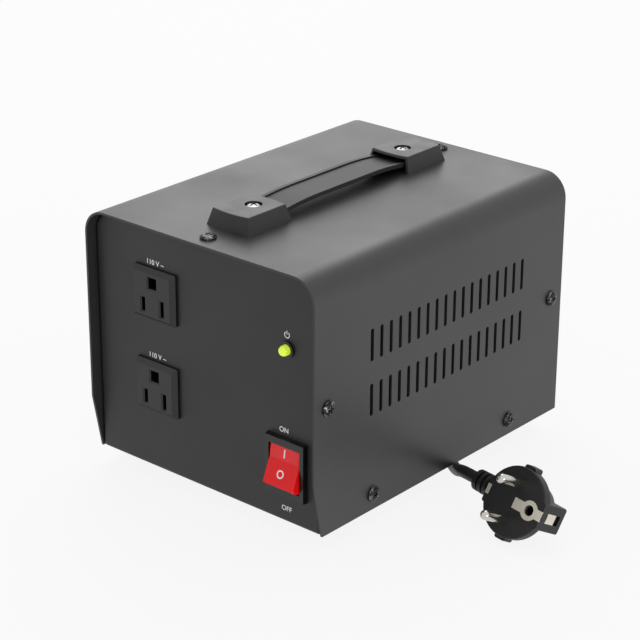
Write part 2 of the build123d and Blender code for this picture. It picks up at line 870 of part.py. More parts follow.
tube_in_w = leg_w + 2 * gap
tube_in_l = stack_t + 2 * gap
tube_w = tube_in_w + 2 * bobbin_wall
tube_l = tube_in_l + 2 * bobbin_wall
flange_w = leg_w + 2 * (lam_unit - gap)
flange_l = stack_t + 2 * bobbin_lip_y
bobbin_h = window_h - 2 * gap
bobbin_low = Plane(origin=(0, core_y, core_mid_z - bobbin_h / 2))
with BuildPart() as bobbin:
    with BuildSketch(bobbin_low):
        Rectangle(tube_w, tube_l)
    extrude(amount=bobbin_h)
    for level in (0, bobbin_h - bobbin_flange_t):
        with BuildSketch(bobbin_low.offset(level)):
            RectangleRounded(flange_w, flange_l, bobbin_wall)
        extrude(amount=bobbin_flange_t)
    with BuildSketch(bobbin_low):
        Rectangle(tube_in_w, tube_in_l)
    extrude(amount=bobbin_h, mode=Mode.SUBTRACT)
keep(bobbin.part, "transformer_bobbin")

winding_w = flange_w - 2 * bobbin_wall
winding_l = stack_t + 2 * winding_side
winding_h = bobbin_h - 2 * (bobbin_flange_t + slip)
winding_low = bobbin_low.offset(bobbin_flange_t + slip)
with BuildPart() as winding:
    with BuildSketch(winding_low):
        RectangleRounded(winding_w - 2 * wrap_t, winding_l - 2 * wrap_t, winding_corner_r)
        Rectangle(tube_w + 2 * slip, tube_l + 2 * slip, mode=Mode.SUBTRACT)
    extrude(amount=winding_h)
keep(winding.part, "transformer_winding")
with BuildPart() as wrap:
    with BuildSketch(winding_low):
        RectangleRounded(winding_w, winding_l, winding_corner_r + wrap_t)
        RectangleRounded(
            winding_w - 2 * wrap_t, winding_l - 2 * wrap_t, winding_corner_r, mode=Mode.SUBTRACT
        )
    extrude(amount=winding_h)
keep(wrap.part, "winding_wrap")

# Two angle brackets clamp the core to the base
with BuildPart() as bracket_rear:
    with BuildSketch(Plane.YZ):
        with Locations((core_y + stack_t / 2, z_inside)):
            Rectangle(bracket_foot, bracket_t, align=(Align.MIN, Align.MIN))
            Rectangle(bracket_t, bracket_leg, align=(Align.MIN, Align.MIN))
    extrude(amount=bracket_l / 2, both=True)
    with BuildSketch(Plane.XZ.offset(-core_y)):
        with Locations(*[(x, core_mid_z - bolt_dz) for x in both_ways(bolt_dx)]):
            Circle(core_bolt_r + slip)
    extrude(amount=-(stack_t / 2 + bracket_foot), mode=Mode.SUBTRACT)
    with BuildSketch(Plane.XY.offset(z_inside)):
        with Locations(*[(x, core_y + (stack_t + bracket_foot) / 2) for x in both_ways(bracket_screw_x)]):
            Circle(m4_hole_r)
    extrude(amount=bracket_t, mode=Mode.SUBTRACT)
keep(bracket_rear.part, "transformer_bracket_rear")
with BuildPart() as bracket_front:
    add(bracket_rear.part.mirror(Plane.XZ.offset(-core_y)))
keep(bracket_front.part, "transformer_bracket_front")

# Core bolts: the lower pair also pass through the brackets
bolt_spots = []
for x in both_ways(bolt_dx):
    bolt_spots.append((x, core_mid_z - bolt_dz, bracket_t))
    bolt_spots.append((x, core_mid_z + bolt_dz, 0))
with BuildPart() as core_bolts:
    for x, z, pad in bolt_spots:
        reach_y = stack_t / 2 + pad
        with BuildSketch(Plane.XZ.offset(-core_y + reach_y)):
            with Locations((x, z)):
                RegularPolygon(core_bolt_head_r, 6)
        extrude(amount=core_bolt_head_h)
        with BuildSketch(Plane.XZ.offset(-core_y + reach_y)):
            with Locations((x, z)):
                Circle(core_bolt_r)
        extrude(amount=-(2 * reach_y + m4_nut_h + over))
keep(core_bolts.part, "core_bolts")
core_nut_places = []
for x, z, pad in bolt_spots:
    core_nut_places.append(Plane(origin=(x, core_y + stack_t / 2 + pad, z), z_dir=(0, 1, 0)))
keep(copies(m4_nut, core_nut_places), "core_nuts")

# Bracket screws go up through the base into nuts on the bracket feet
bracket_spots = []
for x in both_ways(bracket_screw_x):
    for y in both_ways((stack_t + bracket_foot) / 2):
        bracket_spots.append((x, core_y + y))
bracket_screw = pan_screw(m4_head_r, m4_head_h, m4_r, bracket_screw_l)
bracket_screw_places = [Plane(origin=(x, y, z_base), z_dir=(0, 0, -1)) for x, y in bracket_spots]
keep(copies(bracket_screw, bracket_screw_places), "bracket_screws")
bracket_nut_places = [Plane(origin=(x, y, z_inside + bracket_t)) for x, y in bracket_spots]
keep(copies(m4_nut, bracket_nut_places), "bracket_nuts")

# Thermal cut-out on the front of the winding
winding_front_y = core_y - winding_l / 2
with BuildPart() as cutout:
    with BuildSketch(Plane.XZ.offset(-winding_front_y)):
        with Locations((0, core_mid_z)):
            RectangleRounded(cutout_w, cutout_h, cutout_edge_r)
    extrude(amount=cutout_t)
keep(cutout.part, "thermal_cutout")

# Fuse holder, its cap, nut and fuse
fuse_front = holder_floor
fuse_spot = (-fuse_x, z_base + fuse_z)
side_tab_y = y_panel - holder_d / 2
with BuildPart() as holder:
    with BuildSketch(rear):
        with Locations(fuse_spot):
            Circle(holder_rim_r)
    extrude(amount=holder_rim_t)
    with BuildSketch(rear):
        with Locations(fuse_spot):
            Circle(holder_r)
    extrude(amount=-holder_d)
    with BuildSketch(rear.offset(holder_rim_t)):
        with Locations(fuse_spot):
            Circle(holder_bore_r)
    extrude(amount=-(holder_rim_t + holder_d - holder_floor), mode=Mode.SUBTRACT)
    with BuildSketch(rear.offset(-holder_d)):
        with Locations(fuse_spot):
            Rectangle(spade_t, tab_w)
    extrude(amount=holder_floor, mode=Mode.SUBTRACT)
    with BuildSketch(Plane.YZ.offset(fuse_x)):
        with Locations((side_tab_y, z_base + fuse_z)):
            Rectangle(spade_t, tab_w)
    extrude(amount=holder_r + over, mode=Mode.SUBTRACT)
keep(holder.part, "fuse_holder")
with BuildPart() as holder_nut:
    with BuildSketch(rear.offset(-sheet_t)):
        with Locations(fuse_spot):
            RegularPolygon(holder_nut_r, 6)
            Circle(holder_r + slip, mode=Mode.SUBTRACT)
    extrude(amount=-holder_nut_t)
keep(holder_nut.part, "fuse_holder_nut")
cap_seat = holder_rim_t + gap
with BuildPart() as fuse_cap:
    with BuildSketch(rear.offset(cap_seat)):
        with Locations(fuse_spot):
            Circle(cap_head_r)
            with PolarLocations(cap_head_r, cap_rib_count):
                Circle(cap_rib_r)
    extrude(amount=cap_head_l)
    with BuildSketch(rear.offset(cap_seat)):
        with Locations(fuse_spot):
            Circle(cap_shaft_r)
    extrude(amount=-(cap_shaft_l + cap_seat))
    with BuildSketch(rear.offset(-cap_shaft_l)):
        with Locations(fuse_spot):
            Circle(cap_cup_r)
    extrude(amount=fuse_l + fuse_front - holder_d + cap_shaft_l + gap, mode=Mode.SUBTRACT)
    with BuildSketch(rear.offset(cap_seat + cap_head_l)):
        with Locations(fuse_spot):
            Rectangle(cap_slot_l, cap_slot_w)
    extrude(amount=-cap_slot_d, mode=Mode.SUBTRACT)
keep(fuse_cap.part, "fuse_cap")
with BuildPart() as fuse:
    with BuildSketch(rear.offset(-holder_d + fuse_front)):
        with Locations(fuse_spot):
            Circle(fuse_r)
    extrude(amount=fuse_l)
keep(fuse.part, "fuse_link")
with BuildPart() as fuse_tabs:
    with BuildSketch(rear.offset(-holder_d + holder_floor)):
        with Locations(fuse_spot):
            Rectangle(spade_t, tab_w)
    extrude(amount=-(holder_floor + tab_l))
    with BuildSketch(Plane.YZ.offset(fuse_x + fuse_r + slip)):
        with Locations((side_tab_y, z_base + fuse_z)):
            Rectangle(spade_t, tab_w)
    extrude(amount=holder_r - fuse_r - slip + tab_l)
keep(fuse_tabs.part, "fuse_terminals")

# Cord gland, moulded onto the cord
gland_spot = (-gland_x, z_base + gland_z)
with BuildPart() as gland:
    with BuildSketch(rear):
        with Locations(gland_spot):
            Circle(gland_rim_r)
    extrude(amount=gland_rim_t)
    fillet(edges().sort_by(Axis.Y)[-1], gland_edge_r)
    with BuildSketch(rear.offset(gland_rim_t)):
        with Locations(gland_spot):
            Circle(gland_snout_r)
    with BuildSketch(rear.offset(gland_rim_t + gland_snout_l)):
        with Locations(gland_spot):
            Circle(gland_snout_end_r)
    loft()
    with BuildSketch(rear):
        with Locations(gland_spot):
            Circle(gland_neck_r)
    extrude(amount=-sheet_t)
    with BuildSketch(rear.offset(-sheet_t)):
        with Locations(gland_spot):
            Circle(gland_lock_r)
    extrude(amount=-gland_lock_l)
keep(gland.part, "cord_gland")

# Earth stud welded to the base, with two ring lugs under a nut
lug_turns_deg = (0, -90)
with BuildPart() as lug:
    with BuildSketch():
        Circle(lug_r)
        with Locations((lug_reach / 2, 0)):
            Rectangle(lug_reach, lug_crimp_w)
        Circle(m4_hole_r, mode=Mode.SUBTRACT)
    extrude(amount=lug_t)
    with BuildSketch(Plane.XY.offset(lug_t)):
        with Locations((lug_reach - lug_crimp_l / 2, 0)):
            Rectangle(lug_crimp_l, lug_crimp_w)
    extrude(amount=lug_crimp_h - lug_t)
lug_places = []
for count, turn in enumerate(lug_turns_deg):
    lug_places.append(Location((stud_x, stud_y, z_inside + count * (lug_t + slip)), turn))
keep(copies(lug.part, lug_places), "earth_lugs")
with BuildPart() as stud:
    with BuildSketch(Plane.XY.offset(z_inside)):
        with Locations((stud_x, stud_y)):
            Circle(m4_r)
    extrude(amount=stud_l)
keep(stud.part, "earth_stud")
keep(copies(m4_nut, [(stud_x, stud_y, z_inside + len(lug_turns_deg) * (lug_t + slip))]), "earth_nut")


# Inner wires
def bend_radii(points, most=math.inf):
    """The radius of each corner: as large as the runs beside it allow, up to the most."""
    spots = [Vector(point) for point in points]
    runs = [(far - near).length * bend_run_share for near, far in zip(spots, spots[1:])]
    runs[0] *= end_run_share / bend_run_share
    runs[-1] *= end_run_share / bend_run_share
    radii = []
    for count, corner in enumerate(spots[1:-1]):
        turn = math.radians((corner - spots[count]).get_angle(spots[count + 2] - corner))
        radii.append(min(most, min(runs[count], runs[count + 1]) / math.tan(turn / 2)))
    return radii


def wire(points, radius):
    """A round wire along the points, each corner rounded."""
    with BuildPart() as run:
        with BuildLine() as path:
            FilletPolyline(*points, radius=bend_radii(points, wire_bend_r))
        with BuildSketch(Plane(origin=path.line @ 0, z_dir=path.line % 0)):
            Circle(radius)
        sweep()
    return run.part


def wires(routes, name, radius=wire_r):
    """A node of separate wires."""
    with BuildPart() as loom:
        for points in routes:
            add(wire(points, radius))
    keep(loom.part, name)


gland_in_y = y_panel - sheet_t - gland_lock_l
gland_in_z = z_base + gland_z
tab_end_y = -y_panel + outlet_body_d + tab_l
spade_end_y = -y_panel + switch_body_d + spade_l
fuse_end_y = y_panel - holder_d - tab_l
fuse_level = z_base + fuse_z
low_z = z_inside + wire_r + slip
core_side_x = max(core_w, bracket_l) / 2
lane_x = core_side_x + (chassis_w / 2 - sheet_t - core_side_x) * lane_share
lead_out_l = (winding_front_y - spade_end_y) * lead_out_share
wire_turn_y = spade_end_y + wire_turn_in
wire_rise_y = tab_end_y + (winding_front_y - tab_end_y) * wire_rise_share
neutral_wire_y = y_panel - neutral_back
live_back_y = y_panel - live_back
live_loop_z = fuse_level + live_loop_up
tab_mid_y = fuse_end_y + tab_l / 2
crimp_z = (lug_crimp_h + lug_t) / 2
tap_in = winding_w / 2 * tap_in_share
tap_out = winding_w / 2 * tap_out_share
tap_rise = winding_h * tap_level_share
spade_near = switch_x - spade_dx
spade_far = switch_x + spade_dx

# Supply: live to the fuse, neutral to the switch, earth to the stud
live_start = (gland_x + wire_fan, gland_in_y, gland_in_z + wire_fan / 2)
neutral_start = (gland_x, gland_in_y, gland_in_z - wire_fan)
earth_start = (gland_x - wire_fan, gland_in_y, gland_in_z + wire_fan / 2)
supply = (
    (
        live_start,
        (live_start[0], live_start[1] - wire_end_l, live_start[2]),
        (0, live_back_y, live_loop_z),
        (fuse_x, live_back_y, live_loop_z),
        (fuse_x, tab_mid_y, live_loop_z),
        (fuse_x, tab_mid_y, fuse_level + tab_w / 2),
    ),
    (
        neutral_start,
        (neutral_start[0], neutral_start[1] - wire_end_l, neutral_start[2]),
        (neutral_start[0] + 2 * wire_end_l, neutral_wire_y, low_z),
        (switch_x, neutral_wire_y, low_z),
        (lane_x, neutral_wire_y - 2 * wire_end_l, low_z),
        (lane_x, wire_turn_y, low_z),
        (spade_far, spade_end_y + lead_out_l, pivot_z - spade_dz),
        (spade_far, spade_end_y, pivot_z - spade_dz),
    ),
    (
        earth_start,
        (earth_start[0], stud_y, earth_start[2]),
        (stud_x + lug_reach + wire_end_l, stud_y, z_inside + crimp_z),
        (stud_x + lug_reach, stud_y, z_inside + crimp_z),
    ),
)
wires(supply, "wires_supply")

# From the fuse to the switch
side_tab_x = fuse_x + holder_r + tab_l
fused = (
    (
        (side_tab_x, side_tab_y, fuse_level),
        (lane_x, side_tab_y, fuse_level),
        (lane_x, side_tab_y - 2 * wire_end_l, low_z + wire_step),
        (lane_x, wire_turn_y + wire_end_l, low_z + wire_step),
        (spade_far, spade_end_y + lead_out_l, pivot_z + spade_dz),
        (spade_far, spade_end_y, pivot_z + spade_dz),
    ),
)
wires(fused, "wire_fused")

# From the switch to the winding, one of them by way of the thermal cut-out
cutout_y = winding_front_y - cutout_t / 2
primary = (
    (
        (spade_near, spade_end_y, pivot_z + spade_dz),
        (spade_near, spade_end_y + lead_out_l, pivot_z + spade_dz),
        (tap_in, cutout_y, core_mid_z),
        (cutout_w / 2, cutout_y, core_mid_z),
    ),
    (
        (spade_near, spade_end_y, pivot_z - spade_dz),
        (spade_near, spade_end_y + lead_out_l, pivot_z - spade_dz),
        (tap_in, winding_front_y - lead_out_l, core_mid_z - tap_rise),
        (tap_in, winding_front_y, core_mid_z - tap_rise),
    ),
)
wires(primary, "wires_primary")

# From the winding to both outlets
output = []
for level, rise in zip(outlet_levels, (0, tap_rise)):
    for tab_x, tap_x in ((outlet_x - blade_dx, -tap_out), (outlet_x + blade_dx, -tap_in)):
        output.append(
            (
                (tab_x, tab_end_y, level),
                (tab_x, tab_end_y + lead_out_l, level),
                (tap_x, winding_front_y - lead_out_l, core_mid_z + rise - tap_rise / 2),
                (tap_x, winding_front_y, core_mid_z + rise - tap_rise / 2),
            )
        )
wires(output, "wires_output")

# Earth wires from the second lug to both outlets
earth = []
lug_level = z_inside + lug_t + slip + crimp_z
for level, side in zip(outlet_levels, (1, -1)):
    wire_x = stud_x + side * wire_step / 2
    lane_wire_x = side * wire_step / 2 - lane_x
    earth_level = level + earth_dz
    earth.append(
        (
            (wire_x, stud_y - lug_reach, lug_level),
            (wire_x, stud_y - lug_reach - wire_end_l, lug_level),
            (lane_wire_x, stud_y - lug_reach - 3 * wire_end_l, lug_level),
            (lane_wire_x, wire_turn_y, lug_level),
            (lane_wire_x, wire_rise_y, earth_level),
            (outlet_x, wire_rise_y, earth_level),
            (outlet_x, tab_end_y, earth_level),
        )
    )
wires(earth, "wires_earth")

# Lamp wires
lamp_wires = []
for lead_x, tap_x in ((switch_x - lead_dx, tap_in), (switch_x + lead_dx, tap_out)):
    lead_end_y = -y_panel + lead_start + lead_l
    lamp_wires.append(
        (
            (lead_x, lead_end_y, lamp_spot[1]),
            (lead_x, lead_end_y + lead_out_l, lamp_spot[1]),
            (tap_x, winding_front_y - lead_out_l, core_mid_z + tap_rise),
            (tap_x, winding_front_y, core_mid_z + tap_rise),
        )
    )
wires(lamp_wires, "wires_lamp", lamp_wire_r)


# Plug: its own frame has X along the pins' line, Y towards the cord and Z out of the face
def plug_frame(height):
    """The plug's plane with the middle of its face at this height."""
    return Plane(origin=(plug_x, plug_y, height), x_dir=plug_along_pins, z_dir=plug_pins_way)


flat = plug_frame(0)
plug_depth = plug_face_t + plug_back_t
relief_plane = flat.offset(-relief_depth)
relief_line = Axis(origin=relief_plane.origin, direction=relief_plane.y_dir)
relief_tip = relief_start + relief_l


def relief_radius(place):
    """The strain relief's outer radius at a distance from the pins' line."""
    return relief_r - (relief_r - relief_end_r) * (place - relief_start) / relief_l


relief_outline = [(0, 0), (relief_r, 0)]
for count in range(relief_grooves):
    near = relief_start + relief_first + count * relief_pitch
    far = near + relief_groove_w
    relief_outline += [
        (relief_radius(near), near),
        (relief_radius(near) - relief_groove_d, near),
        (relief_radius(far) - relief_groove_d, far),
        (relief_radius(far), far),
    ]
relief_outline += [(relief_end_r, relief_tip), (0, relief_tip)]
with BuildPart() as plug:
    with BuildSketch(flat):
        Circle(plug_face_r)
    extrude(amount=-plug_face_t)
    fillet(edges(), plug_face_edge)
    with BuildSketch(flat.offset(-plug_face_t)):
        Circle(plug_back_r)
    with BuildSketch(flat.offset(-plug_depth)):
        Circle(plug_back_low_r)
    loft()
    with BuildSketch(flat):
        RectangleRounded(plug_block_w, 2 * plug_block_y, plug_block_edge)
    extrude(amount=-plug_depth)
    with BuildSketch(flat.offset(-plug_lug_down)):
        RectangleRounded(2 * plug_lug_x, plug_lug_w, plug_block_edge)
    extrude(amount=-plug_lug_t)
    with BuildSketch(relief_plane):
        with BuildLine():
            Polyline(*relief_outline, close=True)
        make_face()
    revolve(axis=relief_line)
    with BuildSketch(flat):
        with Locations(*[(x, 0) for x in both_ways(pin_dx)]):
            Circle(pin_root_r)
    extrude(amount=-pin_root, mode=Mode.SUBTRACT)
    with BuildSketch(flat):
        with Locations((0, -earth_in)):
            Circle(earth_bore_r + earth_sleeve_t)
    extrude(amount=-earth_bore_d, mode=Mode.SUBTRACT)
    with BuildSketch(flat):
        Rectangle(plate_narrow, earth_in, align=(Align.CENTER, Align.MAX))
        with Locations((0, -earth_in)):
            Circle(plate_wide_r)
        with Locations((0, -(earth_in + plug_block_y) / 2)):
            Rectangle(strip_w, plug_block_y - earth_in)
        with Locations((0, plug_block_y - strip_face_l / 2)):
            Rectangle(strip_w, strip_face_l)
    extrude(amount=-strip_t, mode=Mode.SUBTRACT)
    with BuildSketch(flat):
        with Locations((0, strip_t - plug_block_y)):
            Rectangle(strip_w, 2 * strip_t)
    extrude(amount=-strip_recess, mode=Mode.SUBTRACT)
    with BuildSketch(flat):
        with Locations((0, plug_block_y - strip_t / 2)):
            Rectangle(strip_w, strip_t)
    extrude(amount=-(relief_depth - relief_r - gap), mode=Mode.SUBTRACT)

with BuildPart() as pins:
    with BuildSketch(flat):
        with Locations(*[(x, 0) for x in both_ways(pin_dx)]):
            Circle(pin_r)
    extrude(amount=pin_l)
    fillet(edges().group_by(Axis(origin=(0, 0, 0), direction=flat.z_dir))[-1], pin_tip_r)
    with BuildSketch(flat):
        with Locations(*[(x, 0) for x in both_ways(pin_dx)]):
            Circle(pin_root_r)
    extrude(amount=-pin_root)

with BuildPart() as earth_contact:
    with BuildSketch(flat):
        Rectangle(plate_narrow, earth_in, align=(Align.CENTER, Align.MAX))
        with Locations((0, -earth_in)):
            Circle(plate_wide_r)
        with Locations((0, -(earth_in + plug_block_y) / 2)):
            Rectangle(strip_w, plug_block_y - earth_in)
        with Locations((0, plug_block_y - strip_face_l / 2)):
            Rectangle(strip_w, strip_face_l)
    extrude(amount=-strip_t)
    with BuildSketch(flat):
        with Locations((0, strip_t / 2 - plug_block_y)):
            Rectangle(strip_w, strip_t)
    extrude(amount=-strip_down)
    with BuildSketch(flat):
        with Locations((0, plug_block_y - strip_t / 2)):
            Rectangle(strip_w, strip_t)
    extrude(amount=-(relief_depth - relief_r - gap))
    with BuildSketch(flat):
        with Locations((0, -earth_in)):
            Circle(earth_bore_r + earth_sleeve_t)
    extrude(amount=-earth_bore_d)
    with BuildSketch(flat):
        with Locations((0, -earth_in)):
            Circle(earth_bore_r)
    extrude(amount=-(earth_bore_d - strip_t), mode=Mode.SUBTRACT)

# The plug lies on the surface: its lowest point sets its height
plug_lift = -min(piece.part.bounding_box().min.Z for piece in (plug, pins, earth_contact))
plug_place = [(0, 0, plug_lift)]
keep(copies(plug.part, plug_place), "plug_body")
keep(copies(pins.part, plug_place), "plug_pins")
keep(copies(earth_contact.part, plug_place), "plug_earth_contact")
print("height of the middle of the plug's face", round(plug_lift, 3))

# Coil: an upper layer that spirals in, a half turn down and a lower layer that spirals out
coil_pitch = cord_d + coil_gap
coil_low_z = cord_d / 2
coil_quarters = round(2 * spiral_quarters + 2)


def coil_point(quarters):
    """The place and the direction of the coil's axis after so many quarter turns."""
    angle = quarters * math.pi / 2
    into = min(max(quarters - spiral_quarters, 0), 2)
    outward = max(quarters - spiral_quarters - 2, 0)
    radius = coil_r + coil_pitch / 4 * (outward - min(quarters, spiral_quarters) - into + into**2 / 2)
    growth = coil_pitch / (2 * math.pi) * (into - 1)
    level = coil_low_z + coil_pitch * (1 + math.cos(into * math.pi / 2)) / 2
    fall = -coil_pitch * math.sin(into * math.pi / 2) / 2
    spot = Vector(coil_x + radius * math.cos(angle), coil_y + radius * math.sin(angle), level)
    way = Vector(
        growth * math.cos(angle) - radius * math.sin(angle),
        growth * math.sin(angle) + radius * math.cos(angle),
        fall,
    )
    return spot, way.normalized()


def biarc(start, start_way, end, end_way):
    """The two points between which a pair of tangent arcs joins the ends: middle and end."""
    step = end - start
    both = start_way + end_way
    spare = 2 * (1 - start_way.dot(end_way))
    reach = (-step.dot(both) + math.sqrt(step.dot(both) ** 2 + spare * step.dot(step))) / spare
    return (start + start_way * reach + end - end_way * reach) / 2


coil_knots = [coil_point(count) for count in range(coil_quarters + 1)]
coil_start = coil_knots[0][0] - coil_knots[0][1] * cord_d
coil_end = coil_knots[-1][0] + coil_knots[-1][1] * cord_d
with BuildPart() as coil:
    with BuildLine() as coil_path:
        Line(coil_start, coil_knots[0][0])
        for (near, near_way), (far, far_way) in zip(coil_knots, coil_knots[1:]):
            middle = biarc(near, near_way, far, far_way)
            first = TangentArc(near, middle, tangent=near_way)
            TangentArc(middle, far, tangent=first % 1)
        Line(coil_knots[-1][0], coil_end)
    with BuildSketch(Plane(origin=coil_start, z_dir=coil_knots[0][1])):
        Circle(cord_d / 2)
    sweep()
keep(coil.part, "cord_coil")
coil_length = coil_path.wire().length
coil_fill = coil.part.volume / (coil_length * math.pi * (cord_d / 2) ** 2)
print("coil length", round(coil_length, 1), "volume share", round(coil_fill, 4))
trail = [coil_path.wire().position_at(place / 900) for place in range(901)]
least = min((a - b).length for count, a in enumerate(trail) for b in trail[count + 60 :])
print("least gap of the coil to itself", round(least - cord_d, 3))

# The free stretches of the cord
relief_end = relief_plane.origin + relief_plane.y_dir * relief_tip + Vector(0, 0, plug_lift)
relief_way = relief_plane.y_dir
gland_end = Vector(gland_x, y_panel + gland_rim_t + gland_snout_l, z_base + gland_z)
rear_points = [
    gland_end,
    Vector(-30, 126.4, 37),
    Vector(-30, 140.2, 30.6),
    Vector(-30.1, 150.4, 19.2),
    coil_start - coil_knots[0][1] * coil_run_in,
    coil_start,
]
front_points = [
    coil_end,
    coil_end + coil_knots[-1][1] * coil_run_out,
    Vector(-8, 126, 3.2),
    Vector(14, 90, 3.2),
    Vector(36, 52, 3.2),
    Vector(54, 28, 3.2),
    Vector(68.56, 17.5, 3.2),
    Vector(77.4, 9.55, 6.1),
    Vector(88.58, -2.74, 14.77),
    Vector(94.34, -6.46, 16.96),
    Vector(101.07, -8.85, 17.86),
    relief_end,
]


def stretch(points, name):
    """A free stretch of cord: straight runs with arcs as large as the runs allow."""
    radii = bend_radii(points)
    with BuildPart() as tube:
        with BuildLine() as path:
            FilletPolyline(*points, radius=radii)
        with BuildSketch(Plane(origin=points[0], z_dir=path.line % 0)):
            Circle(cord_d / 2)
        sweep()
    keep(tube.part, name)
    length = path.wire().length
    print(name, "length", round(length, 1), "radii", [round(r, 1) for r in radii])
    print(name, "volume share", round(tube.part.volume / (length * math.pi * (cord_d / 2) ** 2), 4))
    return length


rear_length = stretch(rear_points, "cord_rear")
front_length = stretch(front_points, "cord_front")
print("whole cord", round(rear_length + coil_length + front_length, 1))
print("relief end", relief_end, "coil start", coil_start, "coil end", coil_end)
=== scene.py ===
import math

import bpy
import bmesh
from mathutils import Matrix, Vector


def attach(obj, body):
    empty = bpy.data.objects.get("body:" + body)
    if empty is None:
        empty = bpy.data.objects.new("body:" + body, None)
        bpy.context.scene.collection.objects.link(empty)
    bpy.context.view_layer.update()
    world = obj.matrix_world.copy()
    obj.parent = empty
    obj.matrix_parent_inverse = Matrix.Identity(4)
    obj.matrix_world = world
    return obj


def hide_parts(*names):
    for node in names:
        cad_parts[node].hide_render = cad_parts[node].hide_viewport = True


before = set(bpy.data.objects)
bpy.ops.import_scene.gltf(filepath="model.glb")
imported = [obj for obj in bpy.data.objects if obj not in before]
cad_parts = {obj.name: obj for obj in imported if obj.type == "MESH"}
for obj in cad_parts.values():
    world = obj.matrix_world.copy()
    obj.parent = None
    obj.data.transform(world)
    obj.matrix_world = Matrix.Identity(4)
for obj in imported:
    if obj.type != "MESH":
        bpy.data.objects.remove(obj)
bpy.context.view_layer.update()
MM = 0.001

# Camera
CAMERA_AZIMUTH = math.radians(40.798)
CAMERA_HEIGHT = math.radians(23.102)
CAMERA_ROLL = math.radians(0.26)
CAMERA_DISTANCE = 1100.94 * MM
CAMERA_AIM = Vector((-6.70, 0, 68.25)) * MM
FOCAL_PX = 2135.829
PICTURE_PX = 640
SENSOR_WIDTH = 36.0
flat_share = math.cos(CAMERA_HEIGHT)
back = Vector(
    (
        math.sin(CAMERA_AZIMUTH) * flat_share,
        -math.cos(CAMERA_AZIMUTH) * flat_share,
        math.sin(CAMERA_HEIGHT),
    )
)
right = (-back).cross(Vector((0, 0, 1))).normalized()
up = right.cross(-back)
right_r = right * math.cos(CAMERA_ROLL) + up * math.sin(CAMERA_ROLL)
up_r = up * math.cos(CAMERA_ROLL) - right * math.sin(CAMERA_ROLL)
cam_data = bpy.data.cameras.new("camera")
cam_data.sensor_width = SENSOR_WIDTH
cam_data.lens = FOCAL_PX / PICTURE_PX * SENSOR_WIDTH
cam_data.clip_start = 0.01
cam_data.clip_end = 50
camera = bpy.data.objects.new("camera", cam_data)
camera_turn = Matrix((right_r, up_r, back)).transposed().to_4x4()
camera.matrix_world = Matrix.Translation(CAMERA_AIM + back * CAMERA_DISTANCE) @ camera_turn
bpy.context.collection.objects.link(camera)
bpy.context.scene.camera = camera


# Materials
def srgb(text):
    """A linear colour from a hex one."""
    parts = [int(text[i : i + 2], 16) / 255 for i in (0, 2, 4)]
    return tuple(p / 12.92 if p <= 0.04045 else ((p + 0.055) / 1.055) ** 2.4 for p in parts) + (1.0,)


